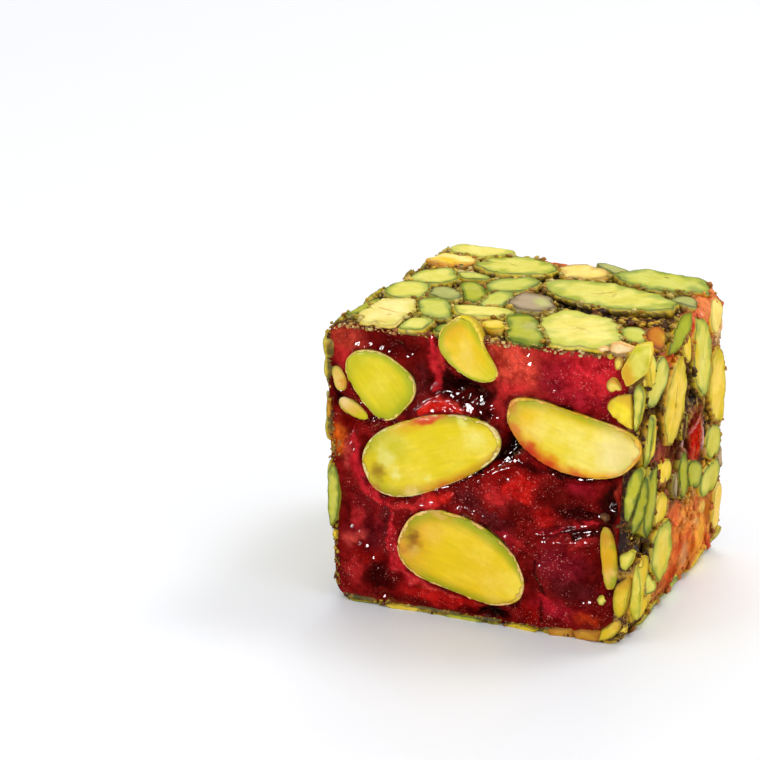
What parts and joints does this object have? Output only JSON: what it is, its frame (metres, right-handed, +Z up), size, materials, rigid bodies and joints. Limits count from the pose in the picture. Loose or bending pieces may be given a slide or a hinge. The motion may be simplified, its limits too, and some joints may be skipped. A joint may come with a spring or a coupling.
{
  "type": "pistachio turkish delight cube",
  "caption": "Cube of red fruit jelly with whole pistachio kernels cut through at two faces and sliced pistachios pressed on the other four.",
  "frame": {"origin": "centre of the footprint, on the surface the cube stands on", "axes": "+Z up, -Y out of the front cut face with the large kernels, +X to the right seen from the front"},
  "size_m": [0.0416, 0.0392, 0.039],
  "materials": {
    "jelly": "dark red glossy jelly, partly clear, with folds and small air bubbles",
    "cut_kernel": "moist cut pistachio, yellow with a green rim and a pale skin line",
    "sliced_pistachio": "dry sliced pistachio, yellow green with a darker rim",
    "nut_coat": "chopped and sliced pistachio stuck on, with ochre crumbs and dark jelly between"
  },
  "bodies": {
    "root": {"chip_lower_left": "cut_kernel", "chip_lower_right": "cut_kernel", "chip_upper_left": "cut_kernel", "chip_upper_right": "cut_kernel", "jelly": "jelly", "kernel_back_lower": "cut_kernel", "kernel_back_middle": "cut_kernel", "kernel_back_right": "cut_kernel", "kernel_back_top_left": "cut_kernel", "kernel_back_top_right": "cut_kernel", "kernel_lower_centre": "cut_kernel", "kernel_middle_left": "cut_kernel", "kernel_middle_right": "cut_kernel", "kernel_top_centre": "cut_kernel", "kernel_top_left": "cut_kernel", "nut_coat": "nut_coat", "slice_left_1": "sliced_pistachio", "slice_left_2": "sliced_pistachio", "slice_left_3": "sliced_pistachio", "slice_left_4": "sliced_pistachio", "slice_right_lower": "sliced_pistachio", "slice_right_middle": "sliced_pistachio", "slice_right_rear": "sliced_pistachio", "slice_right_upper": "sliced_pistachio", "slice_top_back": "sliced_pistachio", "slice_top_far_left": "sliced_pistachio", "slice_top_front": "sliced_pistachio", "slice_top_front_green": "sliced_pistachio", "slice_top_front_left": "sliced_pistachio", "slice_top_long": "sliced_pistachio", "slice_top_rear_left": "sliced_pistachio"}
  },
  "joints": []
}
